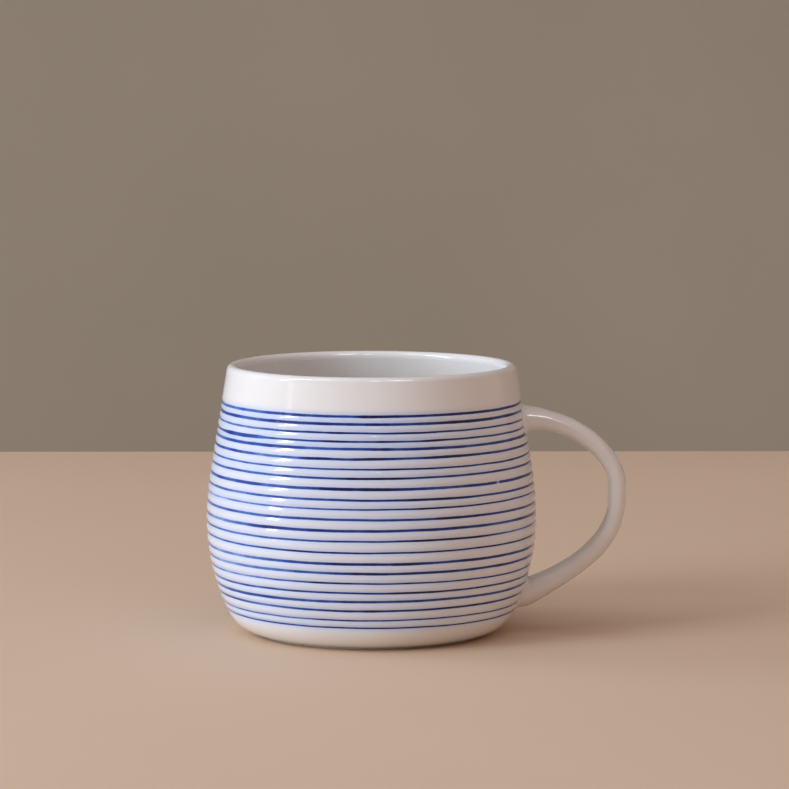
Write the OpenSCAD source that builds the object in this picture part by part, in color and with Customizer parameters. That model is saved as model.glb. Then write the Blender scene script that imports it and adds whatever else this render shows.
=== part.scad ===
// Round-bellied stoneware mug with a loop handle, white glaze and banded cobalt stripes.
// Millimetres, +Z up. The origin is on the cup's axis at table level; the handle is on +X.

/* [Cup] */
// Height of the lip above the table
cup_h = 79; // [74:1:86]
// Outer radius at the widest point of the belly, over the glaze
belly_r = 48.5; // [47:0.5:50]
// Height of the widest point
belly_z = 33.5; // [31:0.5:36]
// Outer radius of the lip
rim_r = 42.4; // [41:0.2:44]
// Radius of the outline's arc from the belly up to the straight flank
flank_arc_r = 90; // [80:1:110]
// Radius of the outline's arc below the belly
belly_arc_r = 62; // [58:1:66]
// Radius of the outline's turn under the cup
base_arc_r = 11; // [9:0.5:14]
// Thickness of the clay wall
wall_t = 2.5; // [2.2:0.1:3.2]

/* [Floor and foot] */
// Height of the glazed floor inside the cup
floor_z = 5.5; // [5:0.1:7]
// Radius of the turn from the floor to the wall inside
floor_arc_r = 12; // [10:0.5:13]
// Outer radius of the foot ring
foot_r = 33.8; // [32:0.2:34.2]
// Width of the foot ring where it meets the table
foot_w = 3; // [2:0.2:4]
// Gap between the table and the lowest point of the glazed outline
foot_gap = 0.3; // [0.2:0.1:0.8]
// Depth of the glazed recess inside the foot ring
recess_h = 1.4; // [1.2:0.1:1.8]

/* [Glaze] */
// Thickness of the fired glaze
glaze_t = 0.4; // [0.35:0.05:0.5]

/* [Stripes] */
// Number of banded stripes
stripe_n = 23; // [12:1:23]
// Height of the first stripe, without its drift
stripe_top_z = 68.4; // [67:0.1:68.6]
// Mean spacing of the stripes, measured along Z
stripe_pitch = 2.72; // [2.65:0.01:2.74]
// Mean width of a stripe
stripe_w = 0.9; // [0.7:0.05:1.1]
// Thickness of the cobalt in its groove
stripe_t = 0.18; // [0.15:0.01:0.2]
// How far the cobalt lies below the glaze
groove_d = 0.1; // [0.08:0.01:0.12]

/* [Handle] */
// Furthest reach of the handle's centre line from the cup's axis
handle_reach = 72.2; // [71:0.2:74]
// Height of that furthest point
handle_apex_z = 43; // [41:0.5:45]
// Height at which the centre line leaves the cup at the top
handle_top_z = 62.9; // [62:0.1:64]
// Height at which the centre line comes back to the cup
handle_low_z = 11.1; // [10.6:0.1:11.8]
// Thickness of the fired clay loop, measured in the plane of the loop
handle_t = 4.6; // [4.4:0.1:5.2]
// Width of the clay loop, measured across that plane
handle_w = 9.4; // [8.5:0.1:10]
// Extra half thickness of the loop at its two ends
root_swell = 0.5; // [0.3:0.1:1]
// How far the luting clay spreads around each end
joint_spread = 0.7; // [0.5:0.1:1.2]

/* [Hidden] */

$fn = 180;
clay_c = "#cfc4b2";
joint_c = "#c3b7a4";
glaze_c = "#f1efeb";
cobalt_c = "#2d3f86";

// Whole wall, with a coat of glaze on each side. The lip is half a circle on its end.
total_t = wall_t + 2 * glaze_t;
lip_r = total_t / 2;
lip_c = [rim_r - lip_r, cup_h - lip_r];

// Centres of the outline's arcs, each tangent to the next
upper_c = [belly_r - flank_arc_r, belly_z];
lower_c = [belly_r - belly_arc_r, belly_z];
base_cz = foot_gap + base_arc_r;
base_c = [lower_c.x + side(belly_arc_r - base_arc_r, belly_z - base_cz), base_cz];
inner_cz = floor_z + floor_arc_r;
inner_c = [
    lower_c.x + side(belly_arc_r - total_t - floor_arc_r, belly_z - inner_cz),
    inner_cz
];

// Directions in which neighbouring arcs touch, and the lean of the straight flank
base_a = heading(base_c - lower_c);
inner_a = heading(inner_c - lower_c);
lip_off = lip_c - upper_c;
flank_a = heading(lip_off) - acos((flank_arc_r - lip_r) / norm(lip_off));

// The glaze on the outside stops short of the foot ring, and inside just under the lip
glaze_foot_r = foot_r + 0.6;
body_foot_r = foot_r + 0.2;
foot_draft = 0.5;

// Number of steps along each arc of the outline
arc_n = 9;
lip_n = 12;

// Loop of the handle: two curves that meet upright at its furthest point
handle_upper = [
    [44, handle_top_z],
    [57.7, handle_top_z + 1.2],
    [handle_reach, handle_apex_z + 9.9],
    [handle_reach, handle_apex_z]
];
handle_lower = [
    [handle_reach, handle_apex_z],
    [handle_reach, handle_apex_z - 9.5],
    [handle_reach, handle_low_z + 12.2],
    [45.1, handle_low_z]
];
// Ends of the loop, buried in the cup before the cup's own shape is cut away
handle_start = [[36.5, handle_top_z - 0.9], [40.2, handle_top_z - 0.4]];
handle_end = [[39.4, handle_low_z - 1.2], [33.5, handle_low_z - 1.7]];
buried_n = 2;
loop_n = 16;
side_n = 24;
// How square the loop's section is, from 1 for an ellipse down to 0 for a rectangle: it is
// rounded outside and flatter inside, where it meets the fingers
outer_power = 0.9;
inner_power = 0.55;
// Points along the loop over which its ends swell, and that the luting clay covers
swell_n = 9;
joint_n = 4;
// Thickness of the luting clay where it ends
thin_edge = 0.2;

function side(long, short) = sqrt(long * long - short * short);
function heading(v) = atan2(v.y, v.x);
function dir(a) = [cos(a), sin(a)];
function arc(c, r, a0, a1, n) = [for (i = [0 : n]) c + r * dir(a0 + (a1 - a0) * i / n)];

// The direction from the base arc's centre to the outline at radius r, inset by k
function base_start(r, k) = -acos((r - base_c.x) / (base_arc_r - k));

// The outside of the cup from radius r under it up to the flank, k below the glazed surface
function outside(r, k) = concat(
    arc(base_c, base_arc_r - k, base_start(r, k), base_a, arc_n),
    arc(lower_c, belly_arc_r - k, base_a, 0, arc_n),
    arc(upper_c, flank_arc_r - k, 0, flank_a, arc_n)
);
// Over the lip from outside to inside
function over_lip(k) = arc(lip_c, lip_r - k, flank_a, 180 + flank_a, lip_n);
// Where the lip starts on the outside, and where it ends on the inside
function lip_start(k) = lip_c + (lip_r - k) * dir(flank_a);
function lip_end(k) = lip_c + (lip_r - k) * dir(180 + flank_a);
// The inside of the cup from the flank down to the floor, k below the glazed surface
function inside(k) = concat(
    arc(upper_c, flank_arc_r - total_t + k, flank_a, 0, arc_n),
    arc(lower_c, belly_arc_r - total_t + k, 0, inner_a, arc_n),
    arc(inner_c, floor_arc_r + k, inner_a, -90, arc_n)
);
function reversed(list) = [for (i = [len(list) - 1 : -1 : 0]) list[i]];

// Height of stripe i: even spacing, with the slow and quick drift of banding by hand
function stripe_z(i) = stripe_top_z - stripe_pitch * i
    + 1.5 * sin(14 * i) + 0.16 * sin(50 * i - 150) + 0.13 * sin(118 * i - 37);
// Width of stripe i: some are loaded with more cobalt than others
function stripe_width(i) = stripe_w * (1 + 0.25 * sin(97 * i + 30));

// Where the outline is at height z: [radius, direction of its normal]
base_join_z = lower_c.y + belly_arc_r * sin(base_a);
flank_join_z = upper_c.y + flank_arc_r * sin(flank_a);
function on_arc(c, r, z) = [c.x + side(r, z - c.y), asin((z - c.y) / r)];
function outline_at(z) =
    z < base_join_z ? on_arc(base_c, base_arc_r, z) :
    z < belly_z ? on_arc(lower_c, belly_arc_r, z) :
    z < flank_join_z ? on_arc(upper_c, flank_arc_r, z) :
    [upper_c.x + flank_arc_r * cos(flank_a) - (z - flank_join_z) * tan(flank_a), flank_a];

function curve(p, t) = pow(1 - t, 3) * p[0] + 3 * pow(1 - t, 2) * t * p[1]
    + 3 * (1 - t) * t * t * p[2] + t * t * t * p[3];
loop_points = concat(
    handle_start,
    [for (i = [0 : loop_n]) curve(handle_upper, i / loop_n)],
    [for (i = [1 : loop_n]) curve(handle_lower, i / loop_n)],
    handle_end
);
last_point = len(loop_points) - 1;

// How near point i is to the cup: 1 in the wall, falling to 0 over n points of the loop
function nearness(i, n) = let (steps = max(0, min(i, last_point - i) - buried_n))
    pow(max(0, 1 - steps / n), 2);
// How far the luting clay stands out from the loop at point i
function luting(i) = joint_spread * nearness(i, joint_n)
    + (min(i, last_point - i) > buried_n + joint_n ? 0 : thin_edge);
function along(i) = let (
        d = loop_points[min(i + 1, last_point)] - loop_points[max(i - 1, 0)]
    ) d / norm(d);
// One ring of points around the loop at point i, grown by g all round
function ring(i, g) = let (
        p = loop_points[i],
        d = along(i),
        swell = root_swell * nearness(i, swell_n) + g,
        half_t = handle_t / 2 + swell,
        half_w = handle_w / 2 + swell
    ) [for (k = [0 : side_n - 1]) let (
        c = cos(360 * k / side_n),
        s = sin(360 * k / side_n),
        power = c < 0 ? inner_power : outer_power,
        u = half_t * sign(c) * pow(abs(c), power),
        v = half_w * sign(s) * pow(abs(s), power)
    ) [p.x - d.y * u, v, p.y + d.x * u]];

// The loop from point first to point last, grown all round by grow. With luted true it
// takes in the luting clay around its ends.
module loop(first, last, grow, luted) {
    n = last - first;
    rings = [for (i = [first : last]) ring(i, grow + (luted ? luting(i) : 0))];
    wall = [
        for (i = [0 : n - 1], k = [0 : side_n - 1]) let (
            a = i * side_n,
            b = a + side_n,
            next = (k + 1) % side_n
        ) [a + k, a + next, b + next, b + k]
    ];
    near_cap = [for (k = [side_n - 1 : -1 : 0]) k];
    far_cap = [for (k = [0 : side_n - 1]) n * side_n + k];
    polyhedron(
        points = [for (r = rings) each r],
        faces = concat(wall, [near_cap, far_cap]),
        convexity = 4
    );
}

// The luted end of the loop, from inside the cup to where the luting clay stops
module upper_root(grow) {
    loop(0, buried_n + joint_n, grow, true);
}
module lower_root(grow) {
    loop(last_point - buried_n - joint_n, last_point, grow, true);
}
module clay_loop() {
    loop(0, last_point, 0, false);
}

// A solid turned on the cup's axis, with its seam on the side away from the handle
module turned(outline) {
    rotate([0, 0, 180]) rotate_extrude() polygon(outline);
}

// Everything inside the cup's outside surface, k below the glaze, up to the lip
module filled_cup(k) {
    turned(concat(
        [[0, outside(body_foot_r, k)[0].y]],
        outside(body_foot_r, k),
        [lip_start(k), [0, lip_start(k).y]]
    ));
}

module cup_body() {
    ring_in = foot_r - foot_w;
    recess_z = recess_h + glaze_t;
    color(clay_c) turned(concat(
        [
            [0, recess_z],
            [ring_in - foot_draft, recess_z],
            [ring_in, 0],
            [foot_r, 0]
        ],
        outside(body_foot_r, glaze_t),
        over_lip(glaze_t),
        inside(glaze_t),
        [[0, floor_z - glaze_t]]
    ));
}

module handle() {
    color(clay_c) difference() {
        clay_loop();
        filled_cup(glaze_t);
    }
}

module upper_handle_joint() {
    color(joint_c) difference() {
        upper_root(0);
        clay_loop();
        filled_cup(glaze_t);
    }
}

module lower_handle_joint() {
    color(joint_c) difference() {
        lower_root(0);
        clay_loop();
        filled_cup(glaze_t);
    }
}

// A band around the cup at stripe i, from depth d0 to depth d1 below the glaze
module band(i, d0, d1) {
    z = stripe_z(i);
    at = outline_at(z);
    p = [at[0], z];
    n = dir(at[1]);
    t = [-n.y, n.x] * stripe_width(i) / 2;
    turned([
        p - n * d1 - t,
        p - n * d0 - t,
        p - n * d0 + t,
        p - n * d1 + t
    ]);
}

module outer_glaze() {
    color(glaze_c) difference() {
        turned(concat(
            outside(glaze_foot_r, 0),
            over_lip(0),
            reversed(over_lip(glaze_t)),
            reversed(outside(glaze_foot_r, glaze_t))
        ));
        for (i = [0 : stripe_n - 1]) band(i, -1, groove_d + stripe_t);
        upper_root(glaze_t);
        lower_root(glaze_t);
    }
}

module liner_glaze() {
    color(glaze_c) turned(concat(
        [lip_end(0)],
        inside(0),
        [[0, floor_z], [0, floor_z - glaze_t]],
        reversed(inside(glaze_t)),
        [lip_end(glaze_t)]
    ));
}

module base_glaze() {
    color(glaze_c) translate([0, 0, recess_h]) cylinder(r = foot_r - foot_w - foot_draft, h = glaze_t);
}

module handle_glaze() {
    color(glaze_c) difference() {
        loop(1, last_point - 1, glaze_t, true);
        loop(0, last_point, 0, true);
        filled_cup(glaze_t);
    }
}

module painted_stripes() {
    color(cobalt_c) difference() {
        for (i = [0 : stripe_n - 1]) band(i, groove_d, groove_d + stripe_t);
        upper_root(glaze_t);
        lower_root(glaze_t);
    }
}

cup_body();
handle();
upper_handle_joint();
lower_handle_joint();
outer_glaze();
liner_glaze();
base_glaze();
handle_glaze();
painted_stripes();
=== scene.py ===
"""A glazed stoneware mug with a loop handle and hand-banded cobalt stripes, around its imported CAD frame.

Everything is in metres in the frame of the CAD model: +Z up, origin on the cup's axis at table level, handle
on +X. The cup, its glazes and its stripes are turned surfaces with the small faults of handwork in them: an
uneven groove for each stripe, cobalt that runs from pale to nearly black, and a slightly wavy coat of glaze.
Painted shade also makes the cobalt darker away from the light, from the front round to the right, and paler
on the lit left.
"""

import math

import bpy
import numpy as np
from mathutils import Euler, Matrix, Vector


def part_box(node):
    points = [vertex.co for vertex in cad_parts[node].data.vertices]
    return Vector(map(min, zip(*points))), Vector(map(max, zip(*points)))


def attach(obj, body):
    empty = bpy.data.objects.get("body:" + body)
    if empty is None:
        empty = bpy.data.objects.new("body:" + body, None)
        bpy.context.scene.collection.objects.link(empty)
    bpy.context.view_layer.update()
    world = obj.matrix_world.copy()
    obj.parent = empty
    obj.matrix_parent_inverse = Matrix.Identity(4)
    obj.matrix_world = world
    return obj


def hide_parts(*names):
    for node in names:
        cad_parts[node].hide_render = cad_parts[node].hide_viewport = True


MM = 0.001
FULL_TURN = 2 * math.pi
HALF_TURN = math.pi
QUARTER_TURN = math.pi / 2

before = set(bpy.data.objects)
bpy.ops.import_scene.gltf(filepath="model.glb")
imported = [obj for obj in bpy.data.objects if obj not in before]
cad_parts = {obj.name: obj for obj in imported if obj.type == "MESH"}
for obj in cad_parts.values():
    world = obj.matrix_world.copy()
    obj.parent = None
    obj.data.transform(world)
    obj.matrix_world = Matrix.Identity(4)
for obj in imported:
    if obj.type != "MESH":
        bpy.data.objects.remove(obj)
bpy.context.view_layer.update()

# ---------------------------------------------------------------- sizes, from the frame where it has them
cup_low, cup_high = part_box("outer_glaze")
handle_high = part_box("handle_glaze")[1]
base_low, base_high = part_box("base_glaze")

CUP_H = cup_high.z
BELLY_R = (cup_high.y - cup_low.y) / 2
WAVE = 0.06 * MM                      # how far the hand-made surface strays inwards and outwards
BELLY_Z = 33.5 * MM
RIM_R = 42.4 * MM
FLANK_ARC_R = 90 * MM
BELLY_ARC_R = 62 * MM
BASE_ARC_R = 11 * MM
FLOOR_ARC_R = 12 * MM
GLAZE_T = base_high.z - base_low.z
FLOOR_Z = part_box("liner_glaze")[0].z + GLAZE_T
WALL_T = 2.5 * MM + 2 * GLAZE_T       # the whole wall, with both coats
FOOT_GAP = 0.3 * MM
FOOT_R = 33.8 * MM
FOOT_W = 3 * MM
FOOT_EDGE = 0.35 * MM                 # radius of the foot ring's rounded edges
RECESS_R = base_high.x
RECESS_Z = base_low.z

COLUMNS = 352                         # columns of a turned surface, all the way round
GROOVE_DEPTH = 0.27 * MM              # each stripe lies just above the middle of a shallow groove
GROOVE_HALF = 1.36 * MM               # so wide that the grooves meet on a soft ridge
GROOVE_DROP = 0.06 * MM
HAZE_HALF = 1.2 * MM                  # how far the cobalt bleeds into the glaze beside a stripe
GROOVE_STEPS = 10                     # rows of points from one stripe to the next
END = 0.9985                          # a row this far along keeps the shading crisp at a coat's edge
TIP = 0.001                           # a short arc like this marks a point where an outline ends


# ---------------------------------------------------------------- small tools
def drift(angle, seed, low, high, fall=1.0):
    """A wandering line around the cup, about -2 to 2, made of low to high waves per turn."""
    dice = np.random.default_rng(seed)
    total = np.zeros_like(angle)
    power = 0.0
    for wave in range(low, high + 1):
        size = dice.normal() / (wave / low) ** fall
        total = total + size * np.sin(wave * angle + dice.uniform(0, FULL_TURN))
        power += size * size / 2
    return total / math.sqrt(power)


def smooth_step(x):
    """0 up to 0 and 1 from 1 on, with a smooth rise between them."""
    x = np.clip(x, 0, 1)
    return x * x * (3 - 2 * x)


def grid_quads(rows, columns, wrap_rows=False, wrap_columns=True, first=0):
    """Quads over a grid of points that is stored row by row."""
    r = np.arange(rows if wrap_rows else rows - 1)
    c = np.arange(columns if wrap_columns else columns - 1)
    r, c = (part.ravel() for part in np.meshgrid(r, c, indexing="ij"))
    r1 = (r + 1) % rows
    c1 = (c + 1) % columns
    quads = np.stack([r * columns + c, r * columns + c1, r1 * columns + c1, r1 * columns + c], -1)
    return [tuple(q) for q in (quads + first).tolist()]


def add_piece(name, points, faces, material, **attributes):
    """A smooth mesh object from points and faces, with per-point attributes for its material."""
    mesh = bpy.data.meshes.new(name)
    mesh.from_pydata(np.asarray(points, float).reshape(-1, 3).tolist(), [], faces)
    for key, values in attributes.items():
        layer = mesh.attributes.new(key, "FLOAT", "POINT")
        layer.data.foreach_set("value", np.asarray(values, np.float32).ravel())
    mesh.shade_smooth()
    mesh.materials.append(material)
    mesh.update()
    piece = bpy.data.objects.new(name, mesh)
    bpy.context.scene.collection.objects.link(piece)
    return piece


def add_closed_piece(name, grid, material):
    """A turned piece whose first and last rows are closed by fans, each to a point on the cup's axis."""
    points = grid.reshape(-1, 3)
    poles = np.array([[0, 0, points[0, 2]], [0, 0, points[-1, 2]]])
    low_pole = len(points)
    last_row = low_pole - COLUMNS
    faces = grid_quads(len(grid), COLUMNS)
    for c in range(COLUMNS):
        c1 = (c + 1) % COLUMNS
        faces.append((c1, c, low_pole))
        faces.append((last_row + c, last_row + c1, low_pole + 1))
    return add_piece(name, np.concatenate([points, poles]), faces, material)


def stands_for(piece, node):
    """Hang the visual piece on the root body and hide the CAD piece that it stands for."""
    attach(piece, "root")
    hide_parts(node)


# ---------------------------------------------------------------- the cup's outline
class Outline:
    """A turned outline as a walk of arcs, joined by straight lines where they don't meet."""

    def __init__(self, arcs, step=0.05 * MM):
        points = []
        normals = []
        for centre, radius, start, end, side in arcs:
            count = max(2, int(abs(end - start) * radius / step))
            angle = np.linspace(start, end, count)
            ray = np.stack([np.cos(angle), np.sin(angle)], -1)
            points.append(np.array(centre) + radius * ray)
            normals.append(side * ray)
        self.points = np.concatenate(points)
        self.normals = np.concatenate(normals)
        gaps = np.linalg.norm(np.diff(self.points, axis=0), axis=1)
        self.walk = np.concatenate([[0], np.cumsum(gaps)])
        self.length = self.walk[-1]

    def at(self, s):
        """Radius, height and the two parts of the normal at the distance s along the outline."""
        columns = (self.points[:, 0], self.points[:, 1], self.normals[:, 0], self.normals[:, 1])
        return tuple(np.interp(s, self.walk, column) for column in columns)

    def at_height(self, z):
        """The distance along the outline at which it reaches height z on its way up."""
        top = np.argmax(self.points[:, 1])
        return np.interp(z, self.points[:top, 1], self.walk[:top])

    def nearest(self, r, z):
        """For each point, its signed distance outside the outline and the nearest distance along it."""
        gap = np.empty(r.shape)
        s = np.empty(r.shape)
        for i in np.ndindex(r.shape):
            dr = r[i] - self.points[:, 0]
            dz = z[i] - self.points[:, 1]
            k = np.argmin(dr * dr + dz * dz)
            nr, nz = self.normals[k]
            gap[i] = dr[k] * nr + dz[k] * nz
            s[i] = self.walk[k] - dr[k] * nz + dz[k] * nr
        return gap, s


def beside(long, short):
    """The third side of a right-angled triangle, from its longest side and another."""
    return math.sqrt(long * long - short * short)


OUT_R = BELLY_R - WAVE                # the smooth outline, before the waves of handwork
LIP_R = WALL_T / 2
LIP_C = (RIM_R - LIP_R, CUP_H - LIP_R - WAVE)
UPPER_C = (OUT_R - FLANK_ARC_R, BELLY_Z)
LOWER_C = (OUT_R - BELLY_ARC_R, BELLY_Z)
BASE_CZ = FOOT_GAP + BASE_ARC_R
BASE_C = (LOWER_C[0] + beside(BELLY_ARC_R - BASE_ARC_R, BELLY_Z - BASE_CZ), BASE_CZ)
INNER_CZ = FLOOR_Z + FLOOR_ARC_R
INNER_C = (LOWER_C[0] + beside(BELLY_ARC_R - WALL_T - FLOOR_ARC_R, BELLY_Z - INNER_CZ), INNER_CZ)
BASE_A = math.atan2(BASE_CZ - BELLY_Z, BASE_C[0] - LOWER_C[0])
INNER_A = math.atan2(INNER_CZ - BELLY_Z, INNER_C[0] - LOWER_C[0])
LIP_OFF = (LIP_C[0] - UPPER_C[0], LIP_C[1] - UPPER_C[1])
FLANK_A = math.atan2(LIP_OFF[1], LIP_OFF[0]) - math.acos((FLANK_ARC_R - LIP_R) / math.hypot(*LIP_OFF))


def outside_arcs(from_radius, inset):
    """From under the cup up its outside and over the lip, inset below the glazed surface."""
    start = -math.acos((from_radius - BASE_C[0]) / (BASE_ARC_R - inset))
    return [
        (BASE_C, BASE_ARC_R - inset, start, BASE_A, 1),
        (LOWER_C, BELLY_ARC_R - inset, BASE_A, 0, 1),
        (UPPER_C, FLANK_ARC_R - inset, 0, FLANK_A, 1),
        (LIP_C, LIP_R - inset, FLANK_A, FLANK_A + HALF_TURN, 1),
    ]


def inside_arcs(inset):
    """From the end of the lip down the inside of the cup to its axis, inset below the glazed surface."""
    return [
        (LIP_C, LIP_R - inset, FLANK_A + HALF_TURN * (1 - TIP), FLANK_A + HALF_TURN, 1),
        (UPPER_C, FLANK_ARC_R - WALL_T + inset, FLANK_A, 0, -1),
        (LOWER_C, BELLY_ARC_R - WALL_T + inset, 0, INNER_A, -1),
        (INNER_C, FLOOR_ARC_R + inset, INNER_A, -QUARTER_TURN, -1),
        ((0, FLOOR_Z - inset + MM), MM, TIP - QUARTER_TURN, -QUARTER_TURN, -1),
    ]


outside = Outline(outside_arcs(FOOT_R + 0.6 * MM, 0))
inside = Outline(inside_arcs(0))
around = np.linspace(0, FULL_TURN, COLUMNS, endpoint=False)


def turned(outline, s, angle, lift):
    """Points of a turned surface at distances s along its outline, raised by lift along the normal."""
    s, angle = np.broadcast_arrays(s, angle)
    r, z, nr, nz = outline.at(s)
    r = r + nr * lift
    return np.stack([r * np.cos(angle), r * np.sin(angle), z + nz * lift], -1)


# ---------------------------------------------------------------- stripes, where the CAD puts them
TURN = np.linspace(0, FULL_TURN, 2049)     # the angles at which a stripe's brushing is kept
FRONT = math.radians(-90)             # the side that faces the camera

# Strokes seen on the front: stripe, bearing to the right of the front in degrees, length in degrees, amount
FULL_BRUSH = [
    (2, -17, 11, 0.30), (3, -20, 12, 0.26), (3, 0, 6, 0.50), (3, 17, 14, 0.42),
    (4, 1, 6, 0.34), (5, -4, 14, 0.30), (7, -11, 12, 0.32), (7, 4, 8, 0.45), (8, -8, 30, 0.34),
    (9, 13, 9, 0.42), (10, 13, 9, 0.40), (15, 5, 12, 0.36), (18, 4, 20, 0.38), (20, -5, 9, 0.40),
]
WET_STRIPE = 3                        # it was flooded over a short stretch at the left
GAP_STRIPE = 8                        # the brush skipped once here, at this bearing and for this long
GAP_BEARING = 50
GAP_HALF = 0.8


def stroke(angle, start, length, amount):
    """A brush load that comes on quickly and runs out over its length, all angles in radians."""
    t = (angle - start) % FULL_TURN
    begin = smooth_step(t / math.radians(5))
    end = 1 - smooth_step((t - 0.35 * length) / (0.9 * length))
    return amount * begin * end


def from_front(angle):
    """An angle about the cup's axis as a bearing from the front, from minus to plus half a turn."""
    return (angle - FRONT + HALF_TURN) % FULL_TURN - HALF_TURN


def from_bearing(angle, start, length):
    """0 to the left of the bearing start and 1 from start + length on, in degrees, fading at the back."""
    bearing = np.degrees(from_front(angle))
    return smooth_step((bearing - start) / length) * (1 - smooth_step((bearing - 120) / 50))


class Stripe:
    """One painted stripe: where it runs along the outline, how it was brushed, and the painted shade in its
    cobalt, at each angle.
    """

    def __init__(self, index, levels):
        dice = np.random.default_rng(40 + index)
        self.middle = outside.at_height(levels.mean())
        self.half = (levels.max() - levels.min()) / 2
        stray = 0.075 * drift(TURN, 100 + index, 1, 5, 0.9) + 0.016 * drift(TURN, 150 + index, 9, 26, 0.5)
        # Painted shade: this share is 0 on the lit left and 1 from the front round to the right. It darkens
        # the cobalt there and leaves it paler on the lit side, as the light falls. It also narrows the
        # stripe and damps the random strokes on the lit side.
        full = from_bearing(TURN, -50, 55)
        wander = 0.055 * drift(TURN, 200 + index, 1, 7, 0.4)
        grain = 0.03 * drift(TURN, 250 + index, 12, 48, 0.5)
        load = 0.38 + 0.03 * math.sin(2.3 * index) + 0.30 * full + wander + grain
        strokes = np.zeros_like(TURN)
        for _ in range(6):
            start = dice.uniform(0, FULL_TURN)
            length = math.radians(dice.uniform(6, 26))
            strokes = np.maximum(strokes, stroke(TURN, start, length, dice.uniform(0.10, 0.34)))
        strokes = strokes * (0.3 + 0.7 * full)
        for which, bearing, length, amount in FULL_BRUSH:
            if which == index:
                start = FRONT + math.radians(bearing)
                strokes = np.maximum(strokes, stroke(TURN, start, math.radians(length), amount))
        for _ in range(3):
            start = dice.uniform(0, FULL_TURN)
            length = math.radians(dice.uniform(14, 40))
            load = load - stroke(TURN, start, length, dice.uniform(0.05, 0.16))
        load = load + strokes
        if index == GAP_STRIPE:
            off = from_front(TURN) - math.radians(GAP_BEARING)
            load = load * (1 - 0.95 * np.exp(-(off / math.radians(GAP_HALF)) ** 2))
        self.line = self.middle + MM * stray
        self.load = np.clip(load, 0.03, 1)
        self.width = self.half * (0.78 + 0.36 * self.load - 0.17 * full)
        self.bleed = 0.85 - 0.5 * from_bearing(TURN, 5, 45)
        if index == WET_STRIPE:
            wet = from_bearing(TURN, -75, 12) * (1 - from_bearing(TURN, -46, 6))
            self.load = self.load + 0.08 * wet
            self.width = self.width * (1 + 0.75 * wet)

    def at(self, values, angle):
        """One of the stripe's values at the given angles."""
        return np.interp(angle % FULL_TURN, TURN, values)


def cad_stripes():
    """The painted stripes, top first. Each CAD stripe is a ring with four edges, at four heights."""
    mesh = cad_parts["painted_stripes"].data
    heights = [v.co.z for v in mesh.vertices if v.co.x < 0]
    levels = np.unique(np.round(heights, 6)).reshape(-1, 4)
    return [Stripe(index, ring) for index, ring in enumerate(levels[::-1])]


STRIPES = cad_stripes()


def groove(angle, s):
    """Depth of the grooves at the distance s along the outline, and the haze of cobalt beside them."""
    depth = np.zeros(np.broadcast(angle, s).shape)
    haze = np.zeros_like(depth)
    for stripe in STRIPES:
        off = s - stripe.at(stripe.line, angle)
        side = np.clip((off + GROOVE_DROP) / GROOVE_HALF, -1, 1)
        depth = depth + GROOVE_DEPTH * (0.5 + 0.5 * np.cos(HALF_TURN * side))
        haze = haze + stripe.at(stripe.bleed, angle) * np.exp(-(off / HAZE_HALF) ** 2)
    return depth, np.clip(haze, 0, 1)


def hand_wave(angle, s):
    """The slight unevenness of a thrown wall, never more than WAVE either way."""
    height = s / outside.length
    slow = np.sin(2 * angle + 1.1 + 2.0 * height) + 0.6 * np.sin(3 * angle - 0.7 - 5.0 * height)
    rings = 0.15 * np.sin(26 * height + angle) + 0.1 * np.sin(57 * height - angle + 0.6)
    most = 1 + 0.6 + 0.15 + 0.1
    return WAVE * (slow + rings) / most


def outer_surface(angle, s, lift):
    """Points of the cup's grooved and uneven outside, raised by lift."""
    depth, _ = groove(angle, s)
    return turned(outside, s, angle, hand_wave(angle, s) - depth + lift)


# ---------------------------------------------------------------- materials
GLAZE_IOR = 1.52


def new_material(name):
    """A material with its node tree and its main shader."""
    material = bpy.data.materials.new(name)
    material.use_nodes = True
    tree = material.node_tree
    shader = tree.nodes["Principled BSDF"]
    return material, tree, shader


def node(tree, kind, inputs=None, **settings):
    """A new node. Each input, by name or number, is another node's output or a plain value."""
    made = tree.nodes.new(kind)
    for key, value in settings.items():
        setattr(made, key, value)
    for key, value in (inputs or {}).items():
        if hasattr(value, "is_output"):
            tree.links.new(value, made.inputs[key])
        else:
            made.inputs[key].default_value = value
    return made


def noise(tree, scale, detail=3.0, roughness=0.5):
    place = node(tree, "ShaderNodeTexCoord").outputs["Object"]
    inputs = {"Vector": place, "Scale": scale, "Detail": detail, "Roughness": roughness}
    return node(tree, "ShaderNodeTexNoise", inputs).outputs["Fac"]


def ramp(tree, value, stops):
    """A colour ramp: stops are (position, (red, green, blue)) pairs."""
    made = node(tree, "ShaderNodeValToRGB", {"Fac": value})
    elements = made.color_ramp.elements
    while len(elements) < len(stops):
        elements.new(0.5)
    for element, (position, colour) in zip(elements, stops):
        element.position = position
        element.color = (*colour, 1)
    return made.outputs["Color"]


def blend(tree, share, under, over):
    """The colour under, with the given share of the plain colour over."""
    return node(tree, "ShaderNodeMix", {0: share, 6: under, 7: (*over, 1)}, data_type="RGBA").outputs[2]


def math_node(tree, operation, a, b):
    return node(tree, "ShaderNodeMath", {0: a, 1: b}, operation=operation).outputs[0]


def spread(tree, value, low, high):
    """value, from 0 to 1, spread over low to high."""
    inputs = {"Value": value, "To Min": low, "To Max": high}
    return node(tree, "ShaderNodeMapRange", inputs).outputs["Result"]


def bump(tree, height, distance, strength, normal=None):
    inputs = {"Height": height, "Distance": distance, "Strength": strength}
    if normal is not None:
        inputs["Normal"] = normal
    return node(tree, "ShaderNodeBump", inputs).outputs["Normal"]


def point_value(tree, name):
    return node(tree, "ShaderNodeAttribute", attribute_name=name).outputs["Fac"]


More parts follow.
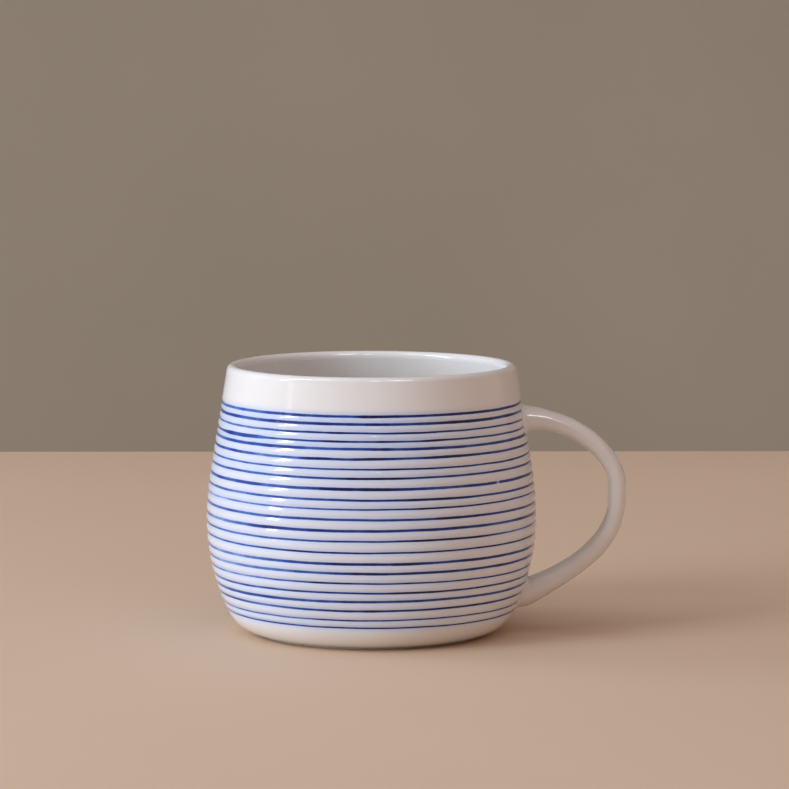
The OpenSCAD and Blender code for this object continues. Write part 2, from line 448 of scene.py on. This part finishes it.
def glaze(name, warm, cool, hazed=False):
    """A glossy coat over pale clay: two near whites, a slow waviness and a fine orange peel."""
    material, tree, shader = new_material(name)
    cloud = noise(tree, 45, 4.0, 0.55)
    colour = ramp(tree, cloud, [(0.3, warm), (0.7, cool)])
    if hazed:
        uneven = spread(tree, noise(tree, 260, 3.0), 0.75, 1.0)
        haze = math_node(tree, "MULTIPLY", point_value(tree, "haze"), uneven)
        colour = blend(tree, haze, colour, (0.47, 0.60, 0.92))
    tree.links.new(colour, shader.inputs["Base Color"])
    smear = noise(tree, 140, 3.0)
    tree.links.new(spread(tree, smear, 0.05, 0.12), shader.inputs["Roughness"])
    wavy = bump(tree, noise(tree, 85, 2.0), 0.04 * MM, 0.5)
    peel = bump(tree, noise(tree, 620, 2.0), 0.005 * MM, 0.6, wavy)
    tree.links.new(peel, shader.inputs["Normal"])
    shader.inputs["IOR"].default_value = GLAZE_IOR
    return material


def cobalt_glaze():
    """Brushed cobalt under gloss: denim blue where it is thin, nearly black where it is thick. Its amount
    also holds painted shade, darker away from the light.
    """
    material, tree, shader = new_material("brushed_cobalt")
    # The attribute holds the brush load together with painted shade that darkens the cobalt away from the
    # light.
    load = point_value(tree, "load")
    streak = noise(tree, 900, 4.0, 0.6)
    amount = math_node(tree, "ADD", load, spread(tree, streak, -0.12, 0.12))
    stops = [
        (0.08, (0.38, 0.47, 0.78)),
        (0.25, (0.11, 0.22, 0.58)),
        (0.44, (0.020, 0.078, 0.36)),
        (0.66, (0.005, 0.017, 0.16)),
        (0.92, (0.003, 0.004, 0.048)),
    ]
    tree.links.new(ramp(tree, amount, stops), shader.inputs["Base Color"])
    tree.links.new(spread(tree, noise(tree, 300), 0.08, 0.20), shader.inputs["Roughness"])
    tree.links.new(bump(tree, noise(tree, 1100, 3.0), 0.02 * MM, 0.5), shader.inputs["Normal"])
    shader.inputs["IOR"].default_value = GLAZE_IOR
    return material


def fired_clay(name, pale, dark):
    """Bare stoneware: fine grit, a few iron specks and no gloss."""
    material, tree, shader = new_material(name)
    grit = noise(tree, 700, 6.0, 0.65)
    colour = ramp(tree, grit, [(0.3, dark), (0.7, pale)])
    speck = ramp(tree, noise(tree, 900, 2.0, 0.5), [(0.66, (0, 0, 0)), (0.72, (1, 1, 1))])
    colour = blend(tree, speck, colour, (0.16, 0.10, 0.065))
    tree.links.new(colour, shader.inputs["Base Color"])
    tree.links.new(spread(tree, grit, 0.7, 0.95), shader.inputs["Roughness"])
    tree.links.new(bump(tree, noise(tree, 1600, 5.0, 0.7), 0.08 * MM, 0.8), shader.inputs["Normal"])
    return material


def plaster(name, pale, dark):
    """The plain stage around the object."""
    material, tree, shader = new_material(name)
    colour = ramp(tree, noise(tree, 3.0, 4.0), [(0.3, dark), (0.7, pale)])
    tree.links.new(colour, shader.inputs["Base Color"])
    shader.inputs["Roughness"].default_value = 0.75
    return material


white_glaze = glaze("white_glaze", (0.81, 0.785, 0.775), (0.84, 0.825, 0.83), hazed=True)
plain_glaze = glaze("plain_glaze", (0.80, 0.77, 0.745), (0.83, 0.81, 0.80))
cobalt = cobalt_glaze()
stoneware = fired_clay("stoneware", (0.66, 0.58, 0.47), (0.52, 0.44, 0.34))
luting_clay = fired_clay("luting_clay", (0.60, 0.53, 0.43), (0.48, 0.41, 0.32))


# ---------------------------------------------------------------- the outer glaze
def outer_rows():
    """Distances along the outline, one row per line of points: close together in the grooves."""
    lines = [stripe.at(stripe.line, around) for stripe in reversed(STRIPES)]
    rows = [lines[0] * f for f in np.linspace(0, 1, 16, endpoint=False)]
    for low, high in zip(lines, lines[1:]):
        rows += [low + (high - low) * f for f in np.linspace(0, 1, GROOVE_STEPS, endpoint=False)]
    lip_s = outside.length - HALF_TURN * LIP_R
    plain = (0, 0.03, 0.06, 0.09, 0.12, 0.16, 0.22, 0.32, 0.48, 0.64, 0.80, 0.92)
    rows += [lines[-1] + (lip_s - lines[-1]) * f for f in plain]
    over_lip = (*np.linspace(0, 1, 22)[:-1], END, 1)
    rows += [np.full(COLUMNS, lip_s + (outside.length - lip_s) * f) for f in over_lip]
    return np.array(rows)


def make_outer_glaze():
    """The coat outside the cup and over the lip, grooved under each stripe and hazed beside it."""
    s = outer_rows()
    depth, haze = groove(around, s)
    fade = smooth_step((outside.length - s) / (2 * MM))
    front = turned(outside, s, around, (hand_wave(around, s) - depth) * fade)
    back = turned(outside, np.linspace(outside.length, 0, 26)[:, None], around, -GLAZE_T)
    points = np.concatenate([front, back])
    haze = np.concatenate([haze, np.zeros(back.shape[:2])])
    faces = grid_quads(len(points), COLUMNS, wrap_rows=True)
    piece = add_piece("outer_glaze_coat", points, faces, white_glaze, haze=haze)
    stands_for(piece, "outer_glaze")


# ---------------------------------------------------------------- the liner, the clay cup and the base
def make_liner_glaze():
    """The coat inside the cup, with faint rings left by the throwing."""
    share = np.concatenate([[0, 1 - END], np.linspace(0.012, 0.9995, 90)])
    s = (inside.length * share)[:, None]
    fade = smooth_step(s / (9 * MM)) * smooth_step((inside.length - s) / (8 * MM))
    rings = 0.035 * MM * np.sin(s / (1.6 * MM) + 0.8 * np.sin(around)) * fade
    front = turned(inside, s, around, rings)
    back = turned(inside, s[::-6], around, -GLAZE_T)
    points = np.concatenate([front, back])
    faces = grid_quads(len(points), COLUMNS, wrap_rows=True)
    piece = add_piece("liner_glaze_coat", points, faces, plain_glaze)
    stands_for(piece, "liner_glaze")


def make_cup_body():
    """The clay cup. Only its turned foot ring shows, wiped bare of glaze."""
    ring_in = FOOT_R - FOOT_W
    edge = FOOT_EDGE
    under_z = RECESS_Z + GLAZE_T
    foot = Outline([
        ((ring_in - 0.9 * MM, under_z + edge), edge, -QUARTER_TURN, TIP - QUARTER_TURN, 1),
        ((ring_in - 0.2 * MM, under_z - edge), edge, QUARTER_TURN, 0.2, 1),
        ((ring_in + 1.1 * edge, edge), edge, -HALF_TURN, -QUARTER_TURN, 1),
        ((FOOT_R - edge, edge), edge, -QUARTER_TURN, 0, 1),
    ])
    outer = Outline(outside_arcs(FOOT_R + 0.2 * MM, GLAZE_T))
    inner = Outline(inside_arcs(GLAZE_T))
    parts = []
    for outline, count in ((foot, 40), (outer, 46), (inner, 36)):
        s = np.linspace(0, outline.length * 0.9995, count)[:, None]
        parts.append(turned(outline, s, around, 0))
    piece = add_closed_piece("cup_body_clay", np.concatenate(parts), stoneware)
    stands_for(piece, "cup_body")


def make_base_glaze():
    """The coat in the recess inside the foot ring, thicker where it crept up to the ring."""
    r = RECESS_R * np.linspace(0.02, 1, 24)
    creep = 0.18 * MM * np.exp(-((RECESS_R - r) / (1.2 * MM)))
    ripple = 0.03 * MM * np.sin(r / (1.1 * MM))
    low_z = RECESS_Z + 0.22 * MM - creep + ripple
    top_r = RECESS_R * np.array([1, 0.5, 0.02])
    top_z = np.full(3, RECESS_Z + GLAZE_T)
    r = np.concatenate([r, top_r])[:, None]
    z = np.concatenate([low_z, top_z])[:, None]
    grid = np.stack(np.broadcast_arrays(r * np.cos(around), r * np.sin(around), z), -1)
    piece = add_closed_piece("base_glaze_coat", grid, plain_glaze)
    stands_for(piece, "base_glaze")


# ---------------------------------------------------------------- the handle
HANDLE_T = 4.6 * MM + 2 * GLAZE_T     # the glazed loop: thickness in its plane, and width across it
HANDLE_W = 9.4 * MM + 2 * GLAZE_T
SHY = 0.08 * MM                       # the uneven loop's mean surface lies this far inside the CAD's
OUTER_POWER = 0.9                     # the section is almost an ellipse outside and flatter inside
INNER_POWER = 0.55
REACH = handle_high.x - HANDLE_T / 2
APEX_Z = 43 * MM
TOP_Z = 62.9 * MM
LOW_Z = 11.1 * MM
SWELL = 0.5 * MM                      # extra half thickness at each end, dying out over its marks
SWELL_MARKS = 9
SPREAD = 0.7 * MM
SPREAD_MARKS = 4
SPANS = 16                            # marks along each half of the loop
BURIED = 2                            # marks at each end that lie behind the cup's outer surface
FINE = 40                             # points of the centre line from mark to mark
TANGENT_REACH = 0.45                  # marks either way over which its direction is taken
TOP_CURVE = np.array([
    (44 * MM, TOP_Z), (57.7 * MM, TOP_Z + 1.2 * MM), (REACH, APEX_Z + 9.9 * MM), (REACH, APEX_Z)])
LOW_CURVE = np.array([
    (REACH, APEX_Z), (REACH, APEX_Z - 9.5 * MM), (REACH, LOW_Z + 12.2 * MM), (45.1 * MM, LOW_Z)])
TOP_END = np.array([(36.5 * MM, TOP_Z - 0.9 * MM), (40.2 * MM, TOP_Z - 0.4 * MM)])
LOW_END = np.array([(39.4 * MM, LOW_Z - 1.2 * MM), (33.5 * MM, LOW_Z - 1.7 * MM)])
LAST = 2 * (SPANS + BURIED)
FILLET = 1.2 * MM
FILLET_ROWS = 9
LOOP_ROWS = 120
SIDES = 56


def bezier(p, t):
    """Points of the cubic curve with the control points p."""
    t = t[:, None]
    return (1 - t) ** 3 * p[0] + 3 * (1 - t) ** 2 * t * p[1] + 3 * (1 - t) * t * t * p[2] + t ** 3 * p[3]


half_loop = np.linspace(0, 1, SPANS * FINE + 1)
top_marks = BURIED + SPANS * half_loop
low_marks = BURIED + SPANS + SPANS * half_loop[1:]
ROUTE = np.concatenate([TOP_END, bezier(TOP_CURVE, half_loop), bezier(LOW_CURVE, half_loop)[1:], LOW_END])
ROUTE_MARKS = np.concatenate([[0, 1], top_marks, low_marks, [LAST - 1, LAST]])


def route_at(mark):
    """The loop's centre line, in the loop's plane, at the given marks along it."""
    return np.interp(mark, ROUTE_MARKS, ROUTE[:, 0]), np.interp(mark, ROUTE_MARKS, ROUTE[:, 1])


def loop_point(mark, turn):
    """A point of the glazed loop: mark runs along it from end to end, turn goes round its section."""
    x, z = route_at(mark)
    x_on, z_on = route_at(mark + TANGENT_REACH)
    x_back, z_back = route_at(mark - TANGENT_REACH)
    dx = x_on - x_back
    dz = z_on - z_back
    length = np.hypot(dx, dz)
    dx = dx / length
    dz = dz / length
    from_end = np.maximum(0, np.minimum(mark, LAST - mark) - BURIED)
    swell = SWELL * np.maximum(0, 1 - from_end / SWELL_MARKS) ** 2
    swell = swell + SPREAD * np.maximum(0, 1 - from_end / SPREAD_MARKS) ** 2
    uneven = 0.05 * MM * np.sin(0.7 * mark + 1) + 0.03 * MM * np.sin(1.9 * mark + 2 * turn)
    c = np.cos(turn)
    s = np.sin(turn)
    power = np.where(c < 0, INNER_POWER, OUTER_POWER)
    u = (HANDLE_T / 2 + swell - SHY + uneven) * np.sign(c) * np.abs(c) ** power
    v = (HANDLE_W / 2 + swell - SHY + uneven) * np.sign(s) * np.abs(s) ** power
    return np.stack([x - dz * u, v, z + dx * u], -1)


def cup_distance(points):
    """For each point, its distance outside the smooth cup and the nearest distance along its outline."""
    return outside.nearest(np.hypot(points[..., 0], points[..., 1]), points[..., 2])


def leaves_cup(turn, marks, distance):
    """The mark at which each line along the loop comes to the given distance from the cup."""
    grid_turn, grid_mark = np.meshgrid(turn, marks, indexing="ij")
    gap, _ = cup_distance(loop_point(grid_mark, grid_turn))
    found = []
    for row in gap:
        k = np.flatnonzero((row[:-1] < distance) & (row[1:] >= distance))[0]
        share = (distance - row[k]) / (row[k + 1] - row[k])
        found.append(marks[k] + share * (marks[k + 1] - marks[k]))
    return np.array(found)


def toe(feet):
    """Where the fillet runs out on the cup: FILLET away from each line's foot, on the cup's surface."""
    _, _, nr, nz = outside.at(cup_distance(feet)[1])
    angle = np.arctan2(feet[:, 1], feet[:, 0])
    normal = np.stack([nr * np.cos(angle), nr * np.sin(angle), nz], -1)
    away = feet - feet.mean(0)
    away = away - normal * np.sum(away * normal, -1, keepdims=True)
    away = away / np.linalg.norm(away, axis=-1, keepdims=True)
    moved = feet + FILLET * away
    s = cup_distance(moved)[1]
    return outer_surface(np.arctan2(moved[:, 1], moved[:, 0]), s, -0.03 * MM)


def fillet_rows(turn, marks):
    """Rows from the cup's surface up to the loop, the marks where the loop takes over, and the toe."""
    starts = leaves_cup(turn, marks, FILLET)
    feet = loop_point(leaves_cup(turn, marks, 0), turn)
    end = toe(feet)
    lift_off = loop_point(starts, turn)
    t = np.linspace(0, 1, FILLET_ROWS, endpoint=False)[:, None, None]
    rows = (1 - t) ** 2 * end + 2 * (1 - t) * t * feet + t * t * lift_off
    return rows, starts, end


def make_handle_glaze():
    """The coat on the loop and its joints. It gives back the two rings where it meets the cup."""
    turn = np.linspace(0, FULL_TURN, SIDES, endpoint=False)
    top_rows, top_start, top_toe = fillet_rows(turn, np.linspace(1, 8, 141))
    low_rows, low_start, low_toe = fillet_rows(turn, np.linspace(LAST - 1, LAST - 8, 141))
    share = np.linspace(0, 1, LOOP_ROWS)[:, None]
    middle = loop_point(top_start * (1 - share) + low_start * share, turn)
    shell = np.concatenate([top_rows, middle, low_rows[::-1]])
    across = np.roll(shell, -1, 1) - np.roll(shell, 1, 1)
    along = np.gradient(shell, axis=0)
    normal = np.cross(along, across)
    normal = normal / np.linalg.norm(normal, axis=-1, keepdims=True)
    core = (shell - 0.9 * GLAZE_T * normal)[::-3]
    points = np.concatenate([shell, core])
    faces = [face[::-1] for face in grid_quads(len(points), SIDES, wrap_rows=True)]
    piece = add_piece("handle_glaze_coat", points, faces, plain_glaze)
    stands_for(piece, "handle_glaze")
    return top_toe, low_toe


# ---------------------------------------------------------------- the stripes
STRIPE_DEPTH = 0.1 * MM               # how far a stripe's underside lies below the glaze's surface


def hidden_half_angle(s, toes):
    """Half the angle, about the handle, over which a handle root covers the cup at distance s."""
    z = outside.at(s)[1]
    widest = 0
    for ring in toes:
        angle = np.arctan2(ring[:, 1], ring[:, 0])
        for k in range(len(ring)):
            after = (k + 1) % len(ring)
            z0 = ring[k, 2] - z
            z1 = ring[after, 2] - z
            if z0 * z1 < 0:
                crossing = angle[k] + (angle[after] - angle[k]) * z0 / (z0 - z1)
                widest = max(widest, abs(crossing))
    return widest


def make_stripes(toes):
    """One strip of cobalt along each groove, as wide and dark as the brush was loaded, and darker and
    narrower still in painted shade away from the light.
    """
    across = np.array([-1, -0.8, -0.4, 0, 0.4, 0.8, 1])
    crown = np.array([-0.035, 0.022, 0.032, 0.034, 0.032, 0.022, -0.035]) * MM
    under = np.array([0.7, 0, -0.7])
    thin = 1 - 0.45 * np.concatenate([across, under]) ** 2
    points = []
    faces = []
    loads_and_shade = []
    first = 0
    for index, stripe in enumerate(STRIPES):
        hidden = hidden_half_angle(stripe.middle, toes)
        ring = hidden == 0
        angle = around if ring else np.linspace(hidden, FULL_TURN - hidden, COLUMNS)
        line = stripe.at(stripe.line, angle)
        load = stripe.at(stripe.load, angle)
        grain = drift(angle, 300 + index, 30, 120, 0.3)
        half = stripe.at(stripe.width, angle) + 0.02 * stripe.half * grain
        top = outer_surface(angle, line + across[:, None] * half, crown[:, None])
        low = outer_surface(angle, line + under[:, None] * half, -STRIPE_DEPTH)
        points.append(np.concatenate([top, low]).reshape(-1, 3))
        rows = len(across) + len(under)
        columns = len(angle)
        faces += grid_quads(rows, columns, wrap_rows=True, wrap_columns=ring, first=first)
        if not ring:
            faces.append(tuple(first + r * columns for r in range(rows)))
            faces.append(tuple(first + r * columns + columns - 1 for r in reversed(range(rows))))
        loads_and_shade.append((load * thin[:, None]).ravel())
        first += rows * columns
    piece = add_piece("cobalt_stripes", np.concatenate(points), faces, cobalt, load=np.concatenate(loads_and_shade))
    stands_for(piece, "painted_stripes")


# ---------------------------------------------------------------- stage, camera and light
def make_stage():
    """A plain pale table, and a plain wall a little way behind it."""
    near = -2.5
    far = 0.44
    half = 3.0
    edge = 0.012
    bend = np.linspace(0, QUARTER_TURN, 9)
    x = np.linspace(-half, half, 9)
    y = np.concatenate([[near, -1, 0, far - 0.1], far + edge * np.sin(bend), [far + edge]])
    z = np.concatenate([[0, 0, 0, 0], edge * np.cos(bend) - edge, [-0.05]])
    table = np.stack(np.broadcast_arrays(x, y[:, None], z[:, None]), -1)
    faces = grid_quads(len(y), len(x), wrap_columns=False)
    material = plaster("pale_table", (0.74, 0.56, 0.41), (0.70, 0.52, 0.38))
    add_piece("table", table, faces, material)
    wall_y = 1.9
    wall_z = np.linspace(-1, 3, 9)
    wall = np.stack(np.broadcast_arrays(x, wall_y, wall_z[:, None]), -1)
    faces = grid_quads(len(wall_z), len(x), wrap_columns=False)
    material = plaster("greige_wall", (0.42, 0.38, 0.31), (0.385, 0.35, 0.28))
    add_piece("wall", wall, faces, material)


def make_camera():
    """A long lens a little above the lip, looking slightly down: the photograph's viewing angle."""
    data = bpy.data.cameras.new("camera")
    data.lens = 170.3
    data.sensor_width = 36
    camera = bpy.data.objects.new("camera", data)
    bpy.context.scene.collection.objects.link(camera)
    camera.location = (0, -1.088, 0.184)
    pitch = math.radians(5.99)
    turn = math.radians(0.354)
    camera.rotation_euler = (QUARTER_TURN - pitch, 0, -turn)
    bpy.context.scene.camera = camera


AIM_Z = 40 * MM                       # every lamp faces this height on the cup's axis


def soft_box(name, bearing, elevation, distance, width, height, glow, colour, lean=0):
    """A rectangular lamp that faces the cup. Glow is how bright its face is. The bearing is in degrees to
    the right of the camera's side, and lean turns the lamp about its line to the cup."""
    data = bpy.data.lights.new(name, "AREA")
    data.shape = "RECTANGLE"
    data.size = width
    data.size_y = height
    data.energy = glow * math.pi * width * height
    data.color = colour
    lamp = bpy.data.objects.new(name, data)
    bpy.context.scene.collection.objects.link(lamp)
    b = math.radians(bearing)
    e = math.radians(elevation)
    lamp.location = (
        distance * math.cos(e) * math.sin(b),
        -distance * math.cos(e) * math.cos(b),
        AIM_Z + distance * math.sin(e),
    )
    facing = Euler((QUARTER_TURN - e, 0, b)).to_matrix() @ Matrix.Rotation(math.radians(lean), 3, "Z")
    lamp.rotation_euler = facing.to_euler()
    return lamp


def make_light():
    """Daylight from the left in a warm dim room: windows that the glaze reflects, and soft fills."""
    white = (1.0, 1.0, 1.0)
    warm = (1.0, 0.99, 0.97)
    window = soft_box("window", -70, 33, 1.2, 0.15, 0.86, 14, white, lean=-12)
    foot = soft_box("window_foot", -65, 10, 1.2, 0.10, 0.12, 1.6, white)
    upper = soft_box("upper_pane", -52, 58, 1.6, 0.22, 0.42, 7, white)
    right = soft_box("right_pane", 30, 52, 1.6, 0.36, 0.50, 10, warm)
    middle = soft_box("middle_pane", 4, 49, 1.6, 0.14, 0.36, 8, warm)
    for pane in (window, foot, upper, right, middle):
        pane.visible_diffuse = False
    cool = (0.84, 1.0, 1.14)
    day = soft_box("daylight", -58, 11, 1.5, 0.58, 0.50, 10.0, cool)
    high = soft_box("high_daylight", -57, 34, 1.5, 0.50, 0.50, 5.2, cool)
    side = soft_box("side_daylight", -102, 15, 1.5, 0.60, 0.68, 4.8, cool)
    for fill in (day, high, side):
        fill.visible_glossy = False
    soft_box("ceiling", -30, 82, 1.5, 1.4, 1.4, 0.60, (0.80, 0.93, 1.08))
    world = bpy.data.worlds.new("room")
    world.use_nodes = True
    background = world.node_tree.nodes["Background"]
    background.inputs["Color"].default_value = (1.0, 0.78, 0.68, 1)
    background.inputs["Strength"].default_value = 0.44
    bpy.context.scene.world = world
    bpy.context.scene.view_settings.view_transform = "Standard"


# ---------------------------------------------------------------- build
make_camera()
make_light()
make_stage()
make_cup_body()
make_outer_glaze()
make_liner_glaze()
make_base_glaze()
toe_rings = make_handle_glaze()
make_stripes(toe_rings)
for name, material in (("handle", stoneware), ("upper_handle_joint", luting_clay),
                       ("lower_handle_joint", luting_clay)):
    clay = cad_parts[name].data
    clay.materials.clear()
    clay.materials.append(material)
